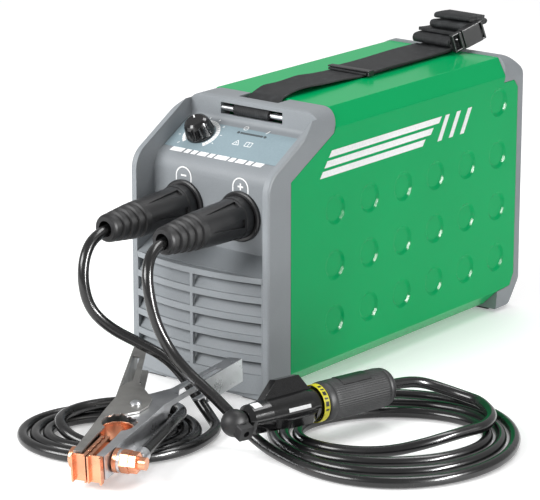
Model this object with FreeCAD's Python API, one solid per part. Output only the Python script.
import FreeCAD, Part
import math
import os

# Stick welder (inverter power source) with its earth clamp and electrode holder.
# Millimetres. The front faces -Y, +X is the machine's own left hand side panel seen from the
# front right, +Z is up. The origin is the middle of the case's footprint, on the floor.

# ---------------------------------------------------------------- driving dimensions
CASE_W = 148.0            # over the green sleeve and both mouldings
CASE_L = 367.0            # rim of the front moulding to the back of the rear frame
GRILLE_BULGE = 10.0       # how far the louvred grille bows out in front of the rim
Y_RIM = (GRILLE_BULGE - CASE_L) / 2      # front plane of the rim
Z_UNDER = 3.0             # underside of both mouldings, on 3 mm feet
Z_SLEEVE = 6.0            # underside of the sleeve
Z_TOP = 233.0             # top of the sleeve
CHAMFER = 14.0            # long corner facets of the sleeve
CORNER_R = 20.0           # top corners of both mouldings
SLEEVE_WALL = 3.0
GAP = 0.3                 # shadow gap between sleeve and mouldings
HALF_W = CASE_W / 2

RIM_T = 6.5               # thickness of the rim's side walls
INNER = HALF_W - RIM_T    # half width between them
PANEL_D = 23.0            # depth of the socket panel behind the rim
PLATE_T = 3.0             # moulding wall
CONSOLE_SLOPE = 0.566     # rise over run of the control console
CONSOLE_D, CONSOLE_Z = 62.0, 207.8       # a point on the console's surface
BACK_WALL_D = 72.0        # upright wall behind the console, with the strap slot
JOINT_D = 29.0            # where the sleeve starts, on the sides
TOP_JOINT_D = 98.0        # and on the top
LEDGE_Z = 108.0           # top of the louvred part

ROWS = 5                  # louvre rows
ROW_PITCH = 16.75
ROW_OPEN = 11.2
ROW_TOP = 103.0
MULLION_W = 3.0

SOCKET_Z = 149.0
SOCKET_X = {"minus": -35.0, "plus": 26.0}
FLANGE_R = 21.3
FLANGE_T = 3.0
PLUG_END = 96.0           # from the flange to the mouth of the rubber sleeve
PIN_R = 6.5
CABLE_D = 9.2             # 16 square millimetre welding cable
CABLE_R = CABLE_D / 2

KNOB_X, KNOB_D = -41.0, 53.0
KNOB_H, KNOB_R = 16.0, 12.6
SPINDLE_R = 3.0
LABEL_T = 0.4

DIMPLE_R, DIMPLE_DEPTH = 13.0, 1.8
DIMPLE_PITCH = 47.9
DIMPLE_D, DIMPLE_Z = 89.1, 149.0         # first dimple of the top full row
DIMPLE_COLS, DIMPLE_ROWS = 6, 3

STRAP_X, STRAP_W, STRAP_T = -2.0, 38.0, 2.4
SLOT_W = 66.0
SLOT_Z = (218.0, 228.0)
STRAP_PIN_Z = 223.0
STRAP_PIN_D = 75.0
PIN_HOLE_R = 2.55

FAN_Z, FAN_SIZE, FAN_R = 118.0, 110.0, 50.0

CLAMP_PIVOT = (58.0, -324.5, 27.0)       # on the pivot pin's axis, halfway along it
CLAMP_X = (-0.315, 0.945, 0.092)        # from the jaws to the handles
HOLDER_NOSE = (136.7, -299.1, 33.0)
HOLDER_X = (0.2018, 0.9793, -0.0251)           # from the nose to the grip

VIEW_U = (0.782, 0.623)   # long axis of the earth cable's coil, on the floor

parts = {}


# ---------------------------------------------------------------- small helpers
def vec(p):
    return FreeCAD.Vector(*p)


def box(x0, x1, y0, y1, z0, z1):
    return Part.makeBox(x1 - x0, y1 - y0, z1 - z0, vec((x0, y0, z0)))


def deep_box(x0, x1, d0, d1, z0, z1):
    """A box placed by its depth behind the rim."""
    return box(x0, x1, Y_RIM + d0, Y_RIM + d1, z0, z1)


def cylinder(base, axis, radius, height):
    return Part.makeCylinder(radius, height, vec(base), vec(axis))


def face(points):
    return Part.Face(Part.makePolygon([vec(p) for p in points + points[:1]]))


def prism_yz(points, x0, x1):
    """Points are (depth behind the rim, height)."""
    return face([(x0, Y_RIM + d, z) for d, z in points]).extrude(vec((x1 - x0, 0, 0)))


def prism_xz(points, d0, d1):
    return face([(x, Y_RIM + d0, z) for x, z in points]).extrude(vec((0, d1 - d0, 0)))


def moved(shape, base, turn):
    """A shape turned about the origin and then carried to base."""
    result = shape.copy()
    result.Placement = FreeCAD.Placement(vec(base), turn).multiply(shape.Placement)
    return result


def revolve(points, base, axis):
    """Turn an (along, radius) outline about the line through base along axis."""
    spin = face([(r, 0, a) for a, r in points]).revolve(vec((0, 0, 0)), vec((0, 0, 1)), 360)
    return moved(spin, base, FreeCAD.Rotation(vec((0, 0, 1)), vec(axis)))


def round_edges(shape, radius, test):
    """Fillet the edges whose centre passes the test."""
    chosen = [e for e in shape.Edges if test(e, e.CenterOfMass)]
    return shape.makeFillet(radius, chosen)


def runs_along(edge, axis):
    line = edge.Curve
    return line.TypeId == "Part::GeomLine" and abs(abs(line.Direction.dot(vec(axis))) - 1) < 1e-4


def octagon(inset, z0, z1, top=CHAMFER, bottom=CHAMFER):
    """The sleeve's section, shrunk by inset on every side."""
    cut = inset * (2 - math.sqrt(2))
    w, lo, hi, t, b = HALF_W - inset, z0 + inset, z1 - inset, top - cut, bottom - cut
    points = [(-w, lo + b), (-w + b, lo), (w - b, lo), (w, lo + b)]
    return points + [(w, hi - t), (w - t, hi), (-w + t, hi), (-w, hi - t)]


def console_z(depth):
    return CONSOLE_Z + (depth - CONSOLE_D) * CONSOLE_SLOPE


def placed(shape, base, x_axis, z_hint=(0, 0, 1)):
    """Move a shape drawn at the origin so its X axis lies along x_axis."""
    x = vec(x_axis).normalize()
    z = (vec(z_hint) - x * vec(z_hint).dot(x)).normalize()
    return moved(shape, base, FreeCAD.Rotation(x, z.cross(x), z, "XZY"))


def tube(points, radius):
    """Straight runs joined by tangent arcs, swept with a round section."""
    pts = [vec(p) for p in points]
    edges, start, radii = [], pts[0], []
    for before, here, after in zip(pts, pts[1:], pts[2:]):
        a, b = (before - here), (after - here)
        trim = 0.45 * min(a.Length, b.Length)
        a.normalize()
        b.normalize()
        p, q = here + a * trim, here + b * trim
        bend = trim / math.tan((math.pi - a.getAngle(b)) / 2)
        centre_way = (a + b).normalize()
        to_centre = math.hypot(trim, bend)
        middle = here + centre_way * (to_centre - bend)
        edges += [Part.LineSegment(start, p).toShape(), Part.Arc(p, middle, q).toShape()]
        start = q
        radii.append(round(bend, 1))
    edges.append(Part.LineSegment(start, pts[-1]).toShape())
    path = Part.Wire(edges)
    circle = Part.Wire(Part.Circle(pts[0], pts[1] - pts[0], radius).toShape())
    solid = path.makePipeShell([circle], True, False)
    ratio = solid.Volume / (math.pi * radius ** 2 * path.Length)
    print("tube length", round(path.Length, 1), "volume ratio", round(ratio, 4), "radii", radii)
    return solid


# ---------------------------------------------------------------- case mouldings
RIM_OUTLINE = [(0, Z_UNDER), (0, 190), (74, Z_TOP), (TOP_JOINT_D, Z_TOP), (86, 214.5),
               (JOINT_D, 184), (JOINT_D, Z_UNDER)]


def moulding_block(d0, d1, z1):
    """Outer form of an end moulding: its top corners are rounded, and stand proud of the facets."""
    block = deep_box(-HALF_W, HALF_W, d0, d1, Z_UNDER, z1)
    block = round_edges(block, CORNER_R, lambda e, c: runs_along(e, (0, 1, 0)) and c.z > z1 - 1)
    return round_edges(block, 1.5, lambda e, c: runs_along(e, (0, 1, 0)) and c.z < Z_UNDER + 1)


def front_fascia():
    body = prism_yz(RIM_OUTLINE, -HALF_W, HALF_W)
    body = round_edges(body, 22, lambda e, c: runs_along(e, (1, 0, 0)) and abs(c.z - 190) < 1)
    body = round_edges(body, 9, lambda e, c: runs_along(e, (1, 0, 0)) and c.z > 232.9
                       and c.y < Y_RIM + 80)
    body = round_edges(body, 2.5, lambda e, c: abs(c.x) > HALF_W - 0.1 and c.y < Y_RIM + 0.1)
    body = body.common(moulding_block(-5, TOP_JOINT_D, Z_TOP))
    corner_z = console_z(PANEL_D)
    recess = prism_yz([(-5, LEDGE_Z), (0, LEDGE_Z), (PANEL_D, 118.5), (PANEL_D, corner_z),
                       (BACK_WALL_D, console_z(BACK_WALL_D)), (BACK_WALL_D, 240), (-5, 240)],
                      -INNER, INNER)
    recess = round_edges(recess, 15, lambda e, c: runs_along(e, (1, 0, 0))
                         and abs(c.z - corner_z) < 1)
    recess = round_edges(recess, 5, lambda e, c: runs_along(e, (1, 0, 0))
                         and abs(c.y - Y_RIM - BACK_WALL_D) < 1 and c.z < 220)
    body = body.cut(recess)
    under = console_z(PANEL_D + PLATE_T) - PLATE_T * 1.15
    over = console_z(BACK_WALL_D + PLATE_T) - PLATE_T * 1.15
    hollow = prism_yz([(-5, 8), (-5, 102.5), (1.3, 105), (PANEL_D + PLATE_T, 116),
                       (PANEL_D + PLATE_T, under), (BACK_WALL_D + PLATE_T, over),
                       (BACK_WALL_D + PLATE_T, Z_TOP - PLATE_T), (110, Z_TOP - PLATE_T),
                       (110, 8)], -INNER, INNER)
    body = body.cut(hollow.common(prism_xz(octagon(PLATE_T, 0, Z_TOP, bottom=2), -10, 120)))
    half = SLOT_W / 2
    for side in (-1, 1):
        inner = STRAP_X + side * half
        outer = inner + side * 5
        boss = deep_box(min(inner, outer), max(inner, outer), BACK_WALL_D + 1, 84,
                        SLOT_Z[0] - 2, Z_TOP - 1)
        body = body.fuse(boss)
    body = body.cut(deep_box(STRAP_X - half, STRAP_X + half, 60, 90, *SLOT_Z))
    body = body.cut(strap_pin(half + 3.05, PIN_HOLE_R))
    body = body.cut(deep_box(STRAP_X - 21, STRAP_X + 21, 81, 110, 220, 240))
    for x in SOCKET_X.values():
        body = body.cut(cylinder((x, Y_RIM, SOCKET_Z), (0, 1, 0), 15.2, 60))
    body = body.cut(on_console(cylinder((0, 0, -20), (0, 0, 1), 4.2, 40)))
    return body.removeSplitter()


def on_console(shape):
    """Move a shape drawn about the Z axis to the knob's place on the console."""
    turn = FreeCAD.Rotation(vec((1, 0, 0)), math.degrees(math.atan(CONSOLE_SLOPE)))
    return moved(shape, (KNOB_X, Y_RIM + KNOB_D, console_z(KNOB_D)), turn)


BOW_R = (INNER ** 2 + GRILLE_BULGE ** 2) / (2 * GRILLE_BULGE)
BOW_Y = Y_RIM - GRILLE_BULGE + BOW_R     # upright axis that the grille bows about


def bowed(points):
    """Sweep an outline of (depth behind the bowed front, height) round the bow's axis."""
    section = face([(0, BOW_Y - BOW_R + d, z) for d, z in points])
    section.rotate(vec((0, BOW_Y, 0)), vec((0, 0, 1)), -18)
    return section.revolve(vec((0, BOW_Y, 0)), vec((0, 0, 1)), 36)


def front_grille():
    """Bowed plate with two columns of slots, and blades that rise inwards behind them."""
    edge = INNER - 0.05
    grille = bowed([(0, 8.05), (3, 8.05), (3, ROW_TOP), (6, ROW_TOP), (6, LEDGE_Z), (0, LEDGE_Z)])
    for row in range(ROWS):
        top = ROW_TOP - row * ROW_PITCH
        for x0, x1 in ((-edge + 1, -MULLION_W / 2), (MULLION_W / 2, edge - 1)):
            grille = grille.cut(box(x0, x1, Y_RIM - 15, Y_RIM + 10, top - ROW_OPEN, top))
    for row in range(ROWS):
        low = ROW_TOP - row * ROW_PITCH - ROW_OPEN - 0.6
        grille = grille.fuse(bowed([(1.2, low), (3.2, low), (10.2, low + 8.6), (8.2, low + 8.6)]))
    grille = grille.common(box(-edge, edge, Y_RIM - 20, Y_RIM + 14, 8, LEDGE_Z))
    shelf = prism_yz([(-0.05, 102), (1.2, 104.9), (26, 115.8), (26, 140), (-0.05, 140)], -80, 80)
    return grille.cut(shelf).removeSplitter()


def intake_baffle():
    """Black dust screen behind the louvres, with upright side strips."""
    screen = deep_box(-INNER + 0.1, INNER - 0.1, 15.2, 16.6, 8.1, 101)
    for x0 in (-INNER + 0.1, MULLION_W / 2 - 1.5, INNER - 1.3):
        screen = screen.fuse(deep_box(x0, x0 + 1.2, 11.5, 15.4, 8.1, 101))
    for k in range(8):
        z = 16 + 11 * k
        screen = screen.cut(deep_box(-INNER + 6, -4, 15, 17, z, z + 4))
        screen = screen.cut(deep_box(4, INNER - 6, 15, 17, z, z + 4))
    return screen


def housing_sleeve():
    body = prism_xz(octagon(0, Z_SLEEVE, Z_TOP), JOINT_D, 362)
    body = round_edges(body, 1.6, lambda e, c: runs_along(e, (0, 1, 0)))
    body = body.cut(prism_xz(octagon(SLEEVE_WALL, Z_SLEEVE, Z_TOP), 0, 380))
    front = [(-5, 0), (JOINT_D + GAP, 0), (JOINT_D + GAP, 183.9), (86.2, 214.2),
             (TOP_JOINT_D + GAP, Z_TOP), (TOP_JOINT_D + GAP, 240), (-5, 240)]
    body = body.cut(prism_yz(front, -80, 80))
    body = body.cut(prism_yz(rear_outline(GAP), -80, 80))
    lip = [(0, DIMPLE_R), (-0.25, DIMPLE_R - 0.35), (-DIMPLE_DEPTH + 0.35, DIMPLE_R - 2.0),
           (-DIMPLE_DEPTH, DIMPLE_R - 2.9), (-DIMPLE_DEPTH, 0), (1, 0), (1, DIMPLE_R)]
    places = [(c, r) for c in range(DIMPLE_COLS) for r in range(DIMPLE_ROWS)]
    for col, row in places + [(DIMPLE_COLS - 1, -1)]:
        y = Y_RIM + DIMPLE_D + col * DIMPLE_PITCH
        z = DIMPLE_Z - row * DIMPLE_PITCH
        for side in (-1, 1):
            body = body.cut(revolve(lip, (side * HALF_W, y, z), (side, 0, 0)))
    return body


def rear_outline(grow=0.0):
    """Side view of the rear frame, grown forward by a gap."""
    g = grow
    return [(347 - g, 240), (347 - g, Z_TOP), (339 - g, 219), (337 - g, 213.5 - g),
            (353 - g, 213.5 - g), (359 - g, 206), (359 - g, 32), (353 - g, 21 + g),
            (333 - g, 19.5 + g), (331 - g, 0), (380, 0), (380, 240)]


def rear_frame():
    z_hi = Z_TOP + 1.5
    body = moulding_block(325, CASE_L, z_hi)
    body = body.common(prism_yz(rear_outline(), -80, 80))
    soft = prism_yz([(300, Z_UNDER), (CASE_L - 16, Z_UNDER), (CASE_L, Z_UNDER + 22),
                     (CASE_L, z_hi - 13), (CASE_L - 11, z_hi), (300, z_hi)], -80, 80)
    soft = round_edges(soft, 10, lambda e, c: runs_along(e, (1, 0, 0)) and c.y > Y_RIM + 340)
    body = body.common(soft)
    inner = prism_xz(octagon(6, Z_SLEEVE - 1, Z_TOP + 1), 300, 380)
    return body.cut(inner).removeSplitter()


def rear_panel():
    panel = prism_xz(octagon(6.05, Z_SLEEVE - 1, Z_TOP + 1), 357, 359.5)
    centre = (0, Y_RIM + 350, FAN_Z)
    for ring in range(4):
        inner, outer = 9 + ring * 11, 16.5 + ring * 11
        slot = cylinder(centre, (0, 1, 0), outer, 20).cut(cylinder(centre, (0, 1, 0), inner, 20))
        for k in range(4):
            spoke = box(-60, 60, Y_RIM + 349, Y_RIM + 371, FAN_Z - 2, FAN_Z + 2)
            spoke.rotate(vec(centre), vec((0, 1, 0)), 45 * k)
            slot = slot.cut(spoke)
        panel = panel.cut(slot)
    panel = panel.cut(deep_box(*SWITCH_X, 350, 365, *SWITCH_Z))
    return panel.cut(cylinder((GLAND_X, Y_RIM + 350, GLAND_Z), (0, 1, 0), 8.2, 20))


# ---------------------------------------------------------------- console pieces
def console_label():
    up = PLATE_T * 2
    d0, d1 = 36.0, 66.0
    plate = prism_yz([(d0, console_z(d0)), (d1, console_z(d1)),
                      (d1 - 0.2, console_z(d1) + LABEL_T), (d0 - 0.2, console_z(d0) + LABEL_T)],
                     -INNER + 0.6, INNER - 0.6)
    plate = plate.cut(on_console(cylinder((0, 0, -up), (0, 0, 1), 4.2, 2 * up)))
    return plate.cut(indicator_blanks(0.05))


def indicator_blanks(grow):
    """The light bar and the two round windows beside it, as plain solids."""
    bar = box(36.5 - grow, 60.0 + grow, 8.6 - grow, 10.4 + grow, 0.0, LABEL_T + 0.35)
    dots = [cylinder((x, 9.5, 0.0), (0, 0, 1), 1.3 + grow, LABEL_T + 0.35) for x in (34.2, 62.4)]
    return on_console(bar.fuse(dots))


def control_knob():
    body = revolve([(0.8, 0), (0.8, KNOB_R), (2.6, KNOB_R + 0.3), (KNOB_H - 4, KNOB_R - 1.5),
                    (KNOB_H - 1.4, KNOB_R - 3.0), (KNOB_H, KNOB_R - 5.2), (KNOB_H, 0)],
                   (0, 0, 0), (0, 0, 1))
    for k in range(10):
        flute = Part.makeCone(2.2, 3.0, KNOB_H, vec((KNOB_R + 1.5, 0, 3.4)), vec((-0.12, 0, 1)))
        flute.rotate(vec((0, 0, 0)), vec((0, 0, 1)), 36 * k)
        body = body.cut(flute)
    body = body.cut(cylinder((0, 0, 0), (0, 0, 1), SPINDLE_R + 0.04, KNOB_H - 4.9))
    return on_console(body)


def knob_spindle():
    return on_console(cylinder((0, 0, -9), (0, 0, 1), SPINDLE_R, KNOB_H + 4))


def potentiometer():
    body = cylinder((0, 0, -16), (0, 0, 1), 8.5, 11.5)
    return on_console(body.cut(cylinder((0, 0, -11), (0, 0, 1), 3.05, 20)))


# ---------------------------------------------------------------- output sockets and plugs
FLANGE_Y = Y_RIM + PANEL_D - FLANGE_T


def socket_shell(x):
    body = revolve([(0, FLANGE_R), (2.2, FLANGE_R), (FLANGE_T, FLANGE_R - 1.2),
                    (FLANGE_T, 9), (-30, 9), (-30, 14), (0, 14)], (x, FLANGE_Y + FLANGE_T, SOCKET_Z),
                   (0, -1, 0))
    nut = cylinder((x, FLANGE_Y + FLANGE_T + PLATE_T + 0.1, SOCKET_Z), (0, 1, 0), 19, 5)
    return body.fuse(nut.cut(cylinder((x, FLANGE_Y, SOCKET_Z), (0, 1, 0), 13, 20)))


def socket_insert(x):
    y = FLANGE_Y + 2
    body = cylinder((x, y, SOCKET_Z), (0, 1, 0), 8.95, 42)
    body = body.cut(cylinder((x, y - 1, SOCKET_Z), (0, 1, 0), PIN_R + 0.06, 36))
    return body.fuse(cylinder((x, y + 41, SOCKET_Z), (0, 1, 0), 4, 13))


def plug_body(x):
    base = (x, FLANGE_Y - 0.4, SOCKET_Z)
    body = revolve([(0, 0), (0, 17.2), (1, 18), (8.5, 18), (9.5, 17.2), (10.5, 17.2),
                    (55, 15.4), (55, 0)], base, (0, -1, 0))
    for k in range(6):
        wedge = face([(-3.6, 0, 0), (3.6, 0, 0), (0, 0, -40)]).extrude(vec((0, 6, 0)))
        wedge.translate(vec((0, 15.0, -11)))
        tool = moved(wedge, base, FreeCAD.Rotation(vec((1, 0, 0)), -90))
        tool.rotate(vec(base), vec((0, 1, 0)), 60 * k + 30)
        body = body.cut(tool)
    return body


def plug_sleeve(x):
    base = (x, FLANGE_Y - 0.4, SOCKET_Z)
    outline = [(55, 0), (55, 15.4), (60, 15.2)]
    for k in range(4):
        start = 61 + k * 8.2
        r = 14.9 - k * 0.95
        outline += [(start, r - 1.5), (start + 2.0, r - 1.5), (start + 3.2, r), (start + 7.2, r - 0.4)]
    outline += [(94.6, 10.9), (PLUG_END - 0.4, 10.0), (PLUG_END - 0.4, 6.7), (PLUG_END - 14, 6.7),
                (PLUG_END - 14, 0)]
    return revolve(outline, base, (0, -1, 0))


def plug_pin(x):
    return revolve([(0, 0), (0, PIN_R), (-33, PIN_R), (-34.5, PIN_R - 1.5), (-34.5, 0)],
                   (x, FLANGE_Y - 0.4, SOCKET_Z), (0, -1, 0))


# ---------------------------------------------------------------- inside the case
SWITCH_X, SWITCH_Z = (30.0, 52.0), (186.0, 216.0)
GLAND_X, GLAND_Z = -40.0, 200.0


def chassis_plate():
    tray = deep_box(-58, 58, 32, 328, 9.3, 10.8)
    for x0 in (-58.0, 56.5):
        tray = tray.fuse(deep_box(x0, x0 + 1.5, 32, 328, 10.8, 24))
    return tray


def power_board():
    board = deep_box(-56, 56, 60, 318, 64, 65.6)
    for x in (-50, 50):
        for d in (70, 308):
            board = board.fuse(cylinder((x, Y_RIM + d, 10.8), (0, 0, 1), 3, 53.2))
    return board


def heat_sinks():
    sinks = []
    for x0 in (-42.0, 6.0):
        block = deep_box(x0, x0 + 36, 100, 300, 11, 15)
        for k in range(9):
            fin = x0 + 0.5 + k * 4.2
            block = block.fuse(deep_box(fin, fin + 1.4, 100, 300, 15, 50))
        sinks.append(block)
    return Part.makeCompound(sinks)


def main_transformer():
    core = deep_box(-46, 14, 200, 262, 66, 120)
    core = core.cut(deep_box(-36, -24, 199, 263, 78, 108)).cut(deep_box(-8, 4, 199, 263, 78, 108))
    return core.fuse(deep_box(-35, 3, 190, 272, 80, 106))


def output_choke():
    centre = (-10, Y_RIM + 140, 66)
    ring = cylinder(centre, (0, 0, 1), 30, 30)
    return ring.cut(cylinder(centre, (0, 0, 1), 13, 40))


def capacitor_bank():
    cans = [cylinder((38, Y_RIM + d, 66), (0, 0, 1), 15, 55) for d in (110, 145, 180, 215)]
    return Part.makeCompound(cans)


def fan_frame():
    half = FAN_SIZE / 2
    body = deep_box(-half, half, 330, 356, FAN_Z - half, FAN_Z + half)
    body = body.cut(cylinder((0, Y_RIM + 320, FAN_Z), (0, 1, 0), FAN_R + 2, 50))
    hub = cylinder((0, Y_RIM + 352, FAN_Z), (0, 1, 0), 17, 4)
    for angle in (45, 135, 225, 315):
        strut = deep_box(15, FAN_R + 4, 352, 355, FAN_Z - 2, FAN_Z + 2)
        strut.rotate(vec((0, 0, FAN_Z)), vec((0, 1, 0)), angle)
        hub = hub.fuse(strut)
    return body.fuse(hub).cut(cylinder((0, Y_RIM + 340, FAN_Z), (0, 1, 0), 2.05, 30))


def fan_rotor():
    hub = cylinder((0, Y_RIM + 334, FAN_Z), (0, 1, 0), 18, 16.5)
    hub = hub.fuse(cylinder((0, Y_RIM + 350, FAN_Z), (0, 1, 0), 2.0, 5.5))
    for k in range(7):
        blade = box(16, FAN_R, -7, 7, -1, 1)
        blade.rotate(vec((0, 0, 0)), vec((1, 0, 0)), 50)
        blade.translate(vec((0, Y_RIM + 342, FAN_Z)))
        blade.rotate(vec((0, 0, FAN_Z)), vec((0, 1, 0)), 360 / 7 * k)
        hub = hub.fuse(blade)
    return hub


def switch_body():
    (x0, x1), (z0, z1) = SWITCH_X, SWITCH_Z
    bezel = deep_box(x0 - 2.5, x1 + 2.5, 359.5, 361, z0 - 2.5, z1 + 2.5)
    shell = deep_box(x0 + 0.2, x1 - 0.2, 338, 359.5, z0 + 0.2, z1 - 0.2)
    body = bezel.fuse(shell)
    body = body.cut(deep_box(x0 + 2.5, x1 - 2.5, 343, 365, z0 + 2.5, z1 - 2.5))
    return body.cut(rocker_pin(0.4, ROCKER_PIN_R + 0.06))


SWITCH_PIVOT_D, SWITCH_REST = 352.0, 11.0
ROCKER_PIN_R = 2.0


def rocker_pin(inset, radius):
    """The rocker's cross pin, ending this far inside the cut-out's sides."""
    (x0, x1), (z0, z1) = SWITCH_X, SWITCH_Z
    start = (x0 + inset, Y_RIM + SWITCH_PIVOT_D, (z0 + z1) / 2)
    return cylinder(start, (1, 0, 0), radius, x1 - x0 - 2 * inset)


def switch_rocker():
    """A rocker with two faces that meet at a shallow V, drawn tipped to its rest side."""
    (x0, x1), (z0, z1) = SWITCH_X, SWITCH_Z
    zc = (z0 + z1) / 2
    outline = [(SWITCH_PIVOT_D - 3, zc - 5), (SWITCH_PIVOT_D - 3, zc + 5), (359, zc + 10.8),
               (362.4, zc + 10.2), (360.6, zc), (362.4, zc - 10.2), (359, zc - 10.8)]
    body = prism_yz(outline, x0 + 2.9, x1 - 2.9)
    body.rotate(vec((0, Y_RIM + SWITCH_PIVOT_D, zc)), vec((1, 0, 0)), SWITCH_REST)
    return body.fuse(rocker_pin(0.6, ROCKER_PIN_R))


def inlet_gland():
    """Strain relief nut for the mains lead, empty here, with its 9 mm hole through."""
    axis = (GLAND_X, Y_RIM + 359.5, GLAND_Z)
    body = revolve([(0, 4.5), (0, 12), (3, 12), (3.2, 11), (6.4, 9.5), (6.4, 4.5)], axis, (0, 1, 0))
    return body.fuse(revolve([(-12, 4.5), (-12, 8), (0, 8), (0, 4.5)], axis, (0, 1, 0)))


def rubber_feet():
    pads = []
    for x0 in (-62.0, 42.0):
        for d in (5.0, 336.0):
            pads.append(deep_box(x0, x0 + 20, d, d + 16, 0, Z_UNDER))
    return Part.makeCompound(pads)


def case_screws():
    heads = []
    for x in (-60, 60):
        for z in (30, 206):
            head = revolve([(0, 0), (0, 3.6), (1.2, 3.3), (2.2, 1.8), (2.2, 1.2), (1.2, 1.2),
                            (1.2, 0)], (x, Y_RIM + 359.5, z), (0, 1, 0))
            heads.append(head)
    return Part.makeCompound(heads)


# ---------------------------------------------------------------- carrying strap
STRAP_X0, STRAP_X1 = STRAP_X - STRAP_W / 2, STRAP_X + STRAP_W / 2
STRAP_Z = Z_TOP + 0.4


def carry_strap():
    """Webbing from the front pin, along the top, doubled in its middle."""
    top = STRAP_Z + STRAP_T
    low = [(STRAP_PIN_D + 2, 226.4), (88, 229), (93, STRAP_Z), (336, STRAP_Z)]
    high = [(336, top), (92, top), (86, 231.4), (STRAP_PIN_D + 2, 228.0)]
    web = prism_yz(low + high, STRAP_X0, STRAP_X1)
    loop = cylinder((STRAP_X0, Y_RIM + STRAP_PIN_D, STRAP_PIN_Z), (1, 0, 0), 4.9, STRAP_W)
    loop = loop.cut(cylinder((STRAP_X0, Y_RIM + STRAP_PIN_D, STRAP_PIN_Z), (1, 0, 0), 2.6, STRAP_W))
    fold = prism_yz([(190, top), (336, top), (336, top + 2.4), (196, top + 2.4)],
                    STRAP_X0 - 1, STRAP_X1 + 4)
    return web.fuse(loop).fuse(fold)


def strap_bundle():
    """The spare webbing folded to and fro, its upper folds slipped towards +X."""
    low = prism_yz([(332, 238.2), (329, 244), (333, 251.2), (362, 251.2), (364, 244),
                    (361, 238.2)], STRAP_X0 - 1, STRAP_X1 + 1)
    high = prism_yz([(345, 251.0), (342, 257), (348, 265), (364, 265), (367, 257), (364, 251.0)],
                    STRAP_X0 + 16, STRAP_X1 + 8)
    return low.fuse(high)


BUCKLE_BASE = (29.5, Y_RIM + 344, 249.0)
BUCKLE_X = (0.36, 0.87, 0.33)            # along the buckle, from its tongue to its socket


def buckle_socket():
    body = box(-8, 16, -3.4, 3.4, -9, 9)
    return placed(body.cut(box(-9, 12, -1.7, 1.7, -7, 7)), BUCKLE_BASE, BUCKLE_X)


def buckle_tongue():
    return placed(box(-18, 11.8, -1.6, 1.6, -6.9, 6.9), BUCKLE_BASE, BUCKLE_X)


def strap_keeper():
    lo, hi = STRAP_Z + STRAP_T + 2.4, STRAP_Z + STRAP_T + 4.6
    return deep_box(STRAP_X0 - 2, STRAP_X1 + 5, 203, 211, lo, hi)


def strap_pin(half, radius):
    start = (STRAP_X - half, Y_RIM + STRAP_PIN_D, STRAP_PIN_Z)
    return cylinder(start, (1, 0, 0), radius, 2 * half)


# ---------------------------------------------------------------- earth clamp (drawn at its pivot)
ARM_W = 24.0              # over the cheeks of the outer arm
ARM_T = 1.6
ARM_TIP, ARM_END = -92.0, 111.0
PIVOT_R = 3.0
ARCH_X, ARCH_R = -34.0, 13.5             # arched cut-out in the cheeks, over the copper strip
RIVET_X = -80.0           # rivet of the upper jaw
BOLT_X, BOLT_R = -76.0, 5.0              # bolt that carries the lug, on the lower arm
HOLE_R = BOLT_R + 0.1
CABLE_SLOT = (20.0, 64.0)                # where the cable passes through the lower arm


def clamp_arm(half_width):
    """A folded steel channel: two cheeks and a back, for the arm on the +Y side."""
    outline = [(ARM_TIP, 6.0), (ARM_TIP, 12.5), (-20, 19), (8, 20.5), (ARM_END, 47),
               (ARM_END, 36), (40, 14), (14, -8), (0, -11), (-12, -8), (-26, 6.5), (-60, 7.0)]
    cheek = face([(x, y, 0) for x, y in outline])
    back = [(ARM_TIP, 12.5), (-20, 19), (8, 20.5), (ARM_END, 47)]
    inner = [(x, y - ARM_T) for x, y in reversed(back)]
    body = face([(x, y, -half_width) for x, y in back + inner]).extrude(vec((0, 0, 2 * half_width)))
    arch = cylinder((ARCH_X, 0, -20), (0, 0, 1), ARCH_R, 40)
    for turn in (15, 40, 65):
        way = math.radians(turn)
        notch = (ARCH_X + ARCH_R * math.cos(way), ARCH_R * math.sin(way), -20)
        arch = arch.fuse(cylinder(notch, (0, 0, 1), 1.6, 40))
    cheek = cheek.extrude(vec((0, 0, ARM_T))).cut(arch)
    for z in (-half_width, half_width - ARM_T):
        plate = cheek.copy()
        plate.translate(vec((0, 0, z)))
        body = body.fuse(plate)
    body = body.cut(cylinder((0, 0, -20), (0, 0, 1), PIVOT_R + 0.05, 40))
    window = face([(28, 24.5, -30), (88, 39, -30), (88, 33, -30), (42, 20, -30)])
    return body.cut(window.extrude(vec((0, 0, 60))))


def mirrored(shape):
    return shape.mirror(vec((0, 0, 0)), vec((0, 1, 0)))


def clamp_place(shape):
    return placed(shape, CLAMP_PIVOT, CLAMP_X)


def clamp_upper_arm():
    arm = clamp_arm(ARM_W / 2)
    return clamp_place(arm.cut(cylinder((RIVET_X, 0, 0), (0, 1, 0), 4.6, 30)))


def clamp_lower_arm():
    arm = mirrored(clamp_arm(ARM_W / 2 - ARM_T - 0.4))
    arm = arm.cut(cylinder((BOLT_X, -30, 0), (0, 1, 0), HOLE_R, 40))
    slot = box(CABLE_SLOT[0] - 8, CABLE_SLOT[1], -50, -10, -12, 0)
    for x in CABLE_SLOT:
        slot = slot.fuse(cylinder((x, -50, 0), (0, 1, 0), 5.5, 40))
    slot = slot.fuse(box(*CABLE_SLOT, -50, -10, -2, 5.5))
    return clamp_place(arm.cut(slot))


def clamp_pivot():
    pin = cylinder((0, 0, -ARM_W / 2 - 2), (0, 0, 1), PIVOT_R, ARM_W + 4)
    for side in (-1, 1):
        head = [(0.2, 0), (0.2, 4.6), (1.0, 4.6), (2.2, 3.0), (2.2, 0)]
        pin = pin.fuse(revolve(head, (0, 0, side * ARM_W / 2), (0, 0, side)))
    return clamp_place(pin)


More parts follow.
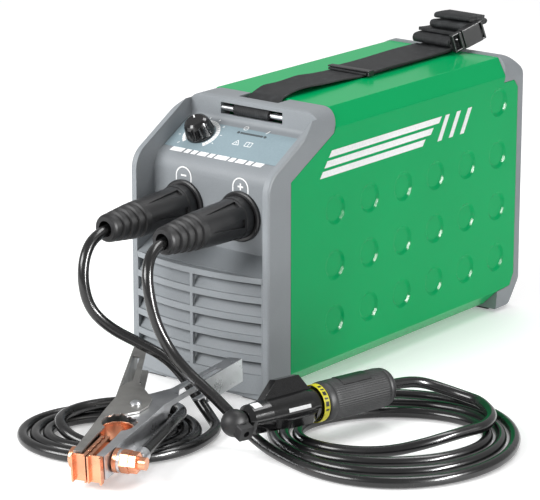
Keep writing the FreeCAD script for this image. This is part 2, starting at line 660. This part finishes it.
def clamp_spring():
    coil = None
    for k in range(6):
        ring = Part.makeTorus(5.4, 1.2, vec((0, 0, -6 + 2.4 * k)))
        coil = ring if coil is None else coil.fuse(ring)
    sleeve = cylinder((0, 0, -7.2), (0, 0, 1), 5.6, 14.4)
    sleeve = sleeve.cut(cylinder((0, 0, -8), (0, 0, 1), 4.6, 16))
    return clamp_place(coil.fuse(sleeve))


def jaw():
    """Copper jaw for the +Y arm: a ribbed contact plate whose front end is a small channel."""
    plate = box(-94, -60, 0.6, 3.6, -11, 11)
    for k in range(4):
        rib = face([(-91 + 8 * k, 0.2, -11), (-86 + 8 * k, 0.2, -11), (-88.5 + 8 * k, 1.6, -11)])
        plate = plate.cut(rib.extrude(vec((0, 0, 22))))
    web = box(-95.4, -94, 0.6, 12.2, -11, 11)
    inner_flange = box(-98.6, -94, 0.6, 2.0, -11, 11)
    outer_flange = box(-99.4, -94, 10.8, 12.2, -11, 11)
    pad = box(-86, -64, 3.6, 5.9, -8, 8)
    return plate.fuse(web).fuse(inner_flange).fuse(outer_flange).fuse(pad)


def clamp_upper_jaw():
    head = revolve([(0, 0), (0, 8.8), (4.6, 8.4), (6.2, 6.0), (6.2, 0)], (RIVET_X, 14.7, 0), (0, 1, 0))
    stem = cylinder((RIVET_X, 5.8, 0), (0, 1, 0), 4.5, 9)
    return clamp_place(jaw().fuse(head).fuse(stem))


def clamp_lower_jaw():
    body = mirrored(jaw())
    return clamp_place(body.cut(cylinder((BOLT_X, -30, 0), (0, 1, 0), HOLE_R, 28)))


def clamp_bridge():
    """Copper strip that leaves the lower jaw, bows round below the pivot and comes back."""
    low, half = -8.0, 8.0
    outlines = []
    centre_x = ARCH_X - 5.5
    for radius in (14.0, 12.8):
        end_x = centre_x + radius * math.cos(math.radians(120))
        end_y = radius * math.sin(math.radians(120))
        tail = radius - 9.8
        arc = Part.Arc(vec((end_x, -end_y, low)), vec((centre_x + radius, 0, low)),
                       vec((end_x, end_y, low)))
        outlines.append(((-60, -tail, low), (end_x, -end_y, low), arc, (end_x, end_y, low),
                         (-59.4, tail, low)))
    (a, b, outer, c, d), (e, f, inner, g, h) = outlines
    edges = [Part.LineSegment(vec(p), vec(q)) for p, q in ((a, b), (c, d), (d, h), (h, g), (f, e),
                                                           (e, a))]
    wire = Part.Wire(Part.__sortEdges__([k.toShape() for k in edges + [outer, inner]]))
    return clamp_place(Part.Face(wire).extrude(vec((0, 0, 2 * half))))


def clamp_bolt():
    shank = cylinder((BOLT_X, -40, 0), (0, 1, 0), BOLT_R, 37.8)
    return clamp_place(shank)


def hexagon(radius, y0, height):
    points = [(BOLT_X + radius * math.cos(math.pi / 3 * k), y0, radius * math.sin(math.pi / 3 * k))
              for k in range(6)]
    return face(points).extrude(vec((0, height, 0)))


def clamp_nuts():
    washer = cylinder((BOLT_X, -17.9, 0), (0, 1, 0), 9.5, 3.1)
    nuts = [washer, hexagon(9.2, -27.2, 6.8), hexagon(8.6, -33.4, 6.0)]
    hole = cylinder((BOLT_X, -45, 0), (0, 1, 0), BOLT_R + 0.05, 60)
    return clamp_place(Part.makeCompound([n.cut(hole) for n in nuts]))


LUG_Y, LUG_Z = -28.0, -3.0               # axis of the lug's barrel, beside the bolt
LUG_X, LUG_MOUTH = -66.4, -54.0          # its closed and open ends


def clamp_lug():
    """Tinned lug: a flat eye on the bolt and a barrel that holds the cable."""
    eye = cylinder((BOLT_X, -20.3, 0), (0, 1, 0), 9.0, 2.3)
    eye = eye.fuse(box(BOLT_X, LUG_X + 1, -20.3, -18, -8, 5))
    eye = eye.fuse(box(LUG_X, LUG_X + 2, LUG_Y - 5, -18, -8, 3))
    barrel = cylinder((LUG_X, LUG_Y, LUG_Z), (1, 0, 0), 6.0, LUG_MOUTH - LUG_X)
    barrel = barrel.cut(cylinder((LUG_X + 2.4, LUG_Y, LUG_Z), (1, 0, 0), CABLE_R + 0.05, 30))
    eye = eye.fuse(barrel)
    return clamp_place(eye.cut(cylinder((BOLT_X, -45, 0), (0, 1, 0), BOLT_R + 0.05, 60)))


# ---------------------------------------------------------------- electrode holder (along X)
HEAD_WINGS = ((-14, 26.0), (106, 18.0), (226, 18.0))     # turn from upright, reach from the axis


def holder_place(shape):
    return placed(shape, HOLDER_NOSE, HOLDER_X)


def holder_nose():
    ball = Part.makeSphere(11.0)
    way = (0, -0.94, -0.34)
    collar = round_edges(box(8.5, 15.5, -6.4, 6.4, -5.8, 5.8), 1.6,
                         lambda e, c: runs_along(e, (1, 0, 0)))
    barrel = Part.makeCone(7.4, 6.6, 10, vec((0, 0, 0)), vec((1, 0, 0)))
    body = ball.fuse(placed(collar.fuse(barrel), (0, 0, 0), way))
    tip = [15.6 * c for c in way]
    hole = cylinder(tip, [-c for c in way], 2.6, 13)
    body = body.cut(hole)
    return holder_place(body.cut(box(9.0, 20, -20, 20, -20, 20)))


def holder_head():
    body = revolve([(9.2, 0), (9.2, 8.5), (13, 11.8), (30, 13.2), (70, 14.2), (76, 13.4),
                    (84.8, 13.0), (84.8, 0)], (0, 0, 0), (1, 0, 0))
    for turn, reach in HEAD_WINGS:
        wing = face([(26, -4, 11), (43, -4, reach), (66, -4, reach), (76, -4, 12)])
        wing = wing.extrude(vec((0, 8, 0)))
        wing.rotate(vec((0, 0, 0)), vec((1, 0, 0)), turn)
        body = body.fuse(wing)
    body = body.cut(cylinder((60, 0, 0), (1, 0, 0), 6.05, 30))
    return holder_place(body)


def holder_grip():
    body = revolve([(85.1, 0), (85.1, 15.2), (87, 16.2), (148, 16.0), (155, 13.5), (158.5, 9.5),
                    (158.5, 0)], (0, 0, 0), (1, 0, 0))
    body = body.cut(cylinder((80, 0, 0), (1, 0, 0), 6.0, 64))
    body = body.cut(cylinder((148, 0, 0), (1, 0, 0), CABLE_R + 0.05, 20))
    return holder_place(body)


def holder_core():
    return holder_place(cylinder((62, 0, 0), (1, 0, 0), 6.0, 82))


# ---------------------------------------------------------------- cables
EARTH_COIL = (24.0, -315.0)
EARTH_AXES = (82.0, 70.0)
HOLDER_COIL = (199.0, -182.0)
HOLDER_AXES = (110.0, 118.0)


def holder_point(along):
    x = vec(HOLDER_X).normalize()
    return tuple(vec(HOLDER_NOSE) + x * along)


def clamp_point(x, y, z):
    ax = vec(CLAMP_X).normalize()
    az = (vec((0, 0, 1)) - ax * ax.z).normalize()
    return tuple(vec(CLAMP_PIVOT) + ax * x + az.cross(ax) * y + az * z)


PLUG_EXIT_Y = FLANGE_Y - 0.4 - PLUG_END + 12

PLUS_ROUTE = [(26, PLUG_EXIT_Y, 149), (27, -265.8, 147.9), (33.4, -282.5, 133.2), (40, -286.5, 111),
              (46, -284.5, 89), (57, -281, 69), (73, -278, 54), (91, -273, 40.5),
              (108, -268, 25), (124, -265, 12.5), (145, -266, 5.6), (164, -272.5, 5.2)]

MINUS_ROUTE = [(-35, PLUG_EXIT_Y, 149), (-35.5, -264.6, 147.5), (-33, -282, 134), (-30, -288, 112),
               (-25, -285, 90), (-12, -275, 74), (7, -263, 63), (27, -253.5, 53),
               (41, -246, 36), (54, -243, 18), (71, -248, 8), (86, -260.5, 5.2)]

EARTH_LOCAL = [(LUG_X + 2.5, LUG_Y, LUG_Z), (-28, LUG_Y, LUG_Z), (14, -27.5, -4.5),
               (44, -20.5, -12)]
EARTH_ROUTE = [clamp_point(*p) for p in EARTH_LOCAL] + [(50, -256.5, 8.6)]

HOLDER_ROUTE = [(232, -97, 5.5), (212, -94, 9), (193, -98, 17), (178, -110, 25),
                holder_point(172), holder_point(151)]


def coil_ring(centre, outer, inner, z_near, z_far):
    """A flat elliptical ring on the floor whose top rises from near to far."""
    discs = []
    for a, b in (outer, inner):
        long_way, short_way = max(a, b), min(a, b)
        curve = Part.Ellipse(vec((0, 0, 0)), long_way, short_way)
        disc = Part.Face(Part.Wire(curve.toShape())).extrude(vec((0, 0, 30)))
        if b > a:
            disc.rotate(vec((0, 0, 0)), vec((0, 0, 1)), 90)
        discs.append(disc)
    body = discs[0].cut(discs[1])
    reach = outer[1]
    a = max(outer) + 10
    rise = (z_far - z_near) / (2 * reach)
    lid = face([(-a, -a, z_near - rise * (a - reach)), (a, -a, z_near - rise * (a - reach)),
                (a, a, z_far + rise * (a - reach)), (-a, a, z_far + rise * (a - reach))])
    body = body.cut(lid.extrude(vec((0, 0, 60))))
    turn = FreeCAD.Rotation(vec((0, 0, 1)), math.degrees(math.atan2(VIEW_U[1], VIEW_U[0])))
    return moved(body, (centre[0], centre[1], 0), turn)


def build():
    parts["front_fascia"] = front_fascia()
    parts["front_grille"] = front_grille()
    parts["intake_baffle"] = intake_baffle()
    parts["housing_sleeve"] = housing_sleeve()
    parts["rear_frame"] = rear_frame()
    parts["rear_panel"] = rear_panel()
    parts["console_label"] = console_label()
    parts["indicator_lights"] = indicator_blanks(0)
    parts["control_knob"] = control_knob()
    parts["knob_spindle"] = knob_spindle()
    parts["potentiometer"] = potentiometer()
    for sign, x in SOCKET_X.items():
        parts["socket_" + sign] = socket_shell(x)
        parts["socket_insert_" + sign] = socket_insert(x)
        parts["plug_%s_body" % sign] = plug_body(x)
        parts["plug_%s_sleeve" % sign] = plug_sleeve(x)
        parts["plug_%s_pin" % sign] = plug_pin(x)
    parts["chassis_plate"] = chassis_plate()
    parts["power_board"] = power_board()
    parts["heat_sinks"] = heat_sinks()
    parts["main_transformer"] = main_transformer()
    parts["output_choke"] = output_choke()
    parts["capacitor_bank"] = capacitor_bank()
    parts["fan_frame"] = fan_frame()
    parts["fan_rotor"] = fan_rotor()
    parts["power_switch_body"] = switch_body()
    parts["power_switch_rocker"] = switch_rocker()
    parts["inlet_gland"] = inlet_gland()
    parts["rubber_feet"] = rubber_feet()
    parts["case_screws"] = case_screws()
    parts["carry_strap"] = carry_strap()
    parts["strap_bundle"] = strap_bundle()
    parts["buckle_socket"] = buckle_socket()
    parts["buckle_tongue"] = buckle_tongue()
    parts["strap_keeper"] = strap_keeper()
    parts["strap_pin_front"] = strap_pin(SLOT_W / 2 + 3, 2.5)
    parts["clamp_upper_arm"] = clamp_upper_arm()
    parts["clamp_lower_arm"] = clamp_lower_arm()
    parts["clamp_pivot"] = clamp_pivot()
    parts["clamp_spring"] = clamp_spring()
    parts["clamp_upper_jaw"] = clamp_upper_jaw()
    parts["clamp_lower_jaw"] = clamp_lower_jaw()
    parts["clamp_bridge"] = clamp_bridge()
    parts["clamp_bolt"] = clamp_bolt()
    parts["clamp_nuts"] = clamp_nuts()
    parts["clamp_lug"] = clamp_lug()
    parts["holder_nose"] = holder_nose()
    parts["holder_head"] = holder_head()
    parts["holder_grip"] = holder_grip()
    parts["holder_core"] = holder_core()
    parts["plus_cable"] = tube(PLUS_ROUTE, CABLE_R)
    parts["minus_cable"] = tube(MINUS_ROUTE, CABLE_R)
    parts["earth_cable_end"] = tube(EARTH_ROUTE, CABLE_R)
    parts["holder_cable_end"] = tube(HOLDER_ROUTE, CABLE_R)
    parts["earth_coil"] = coil_ring(EARTH_COIL, EARTH_AXES, (46, 34), 9.5, 18.0)
    parts["holder_coil"] = coil_ring(HOLDER_COIL, HOLDER_AXES, (66, 42), 12.2, 12.2)


build()
os.makedirs("parts", exist_ok=True)
total = FreeCAD.BoundBox()
for name, shape in parts.items():
    if not shape.isValid() or len(shape.Solids) == 0:
        print("CHECK", name, shape.isValid(), len(shape.Solids))
    shape.exportStep("parts/%s.step" % name)
    total.add(shape.BoundBox)
print(len(parts), "nodes", total)
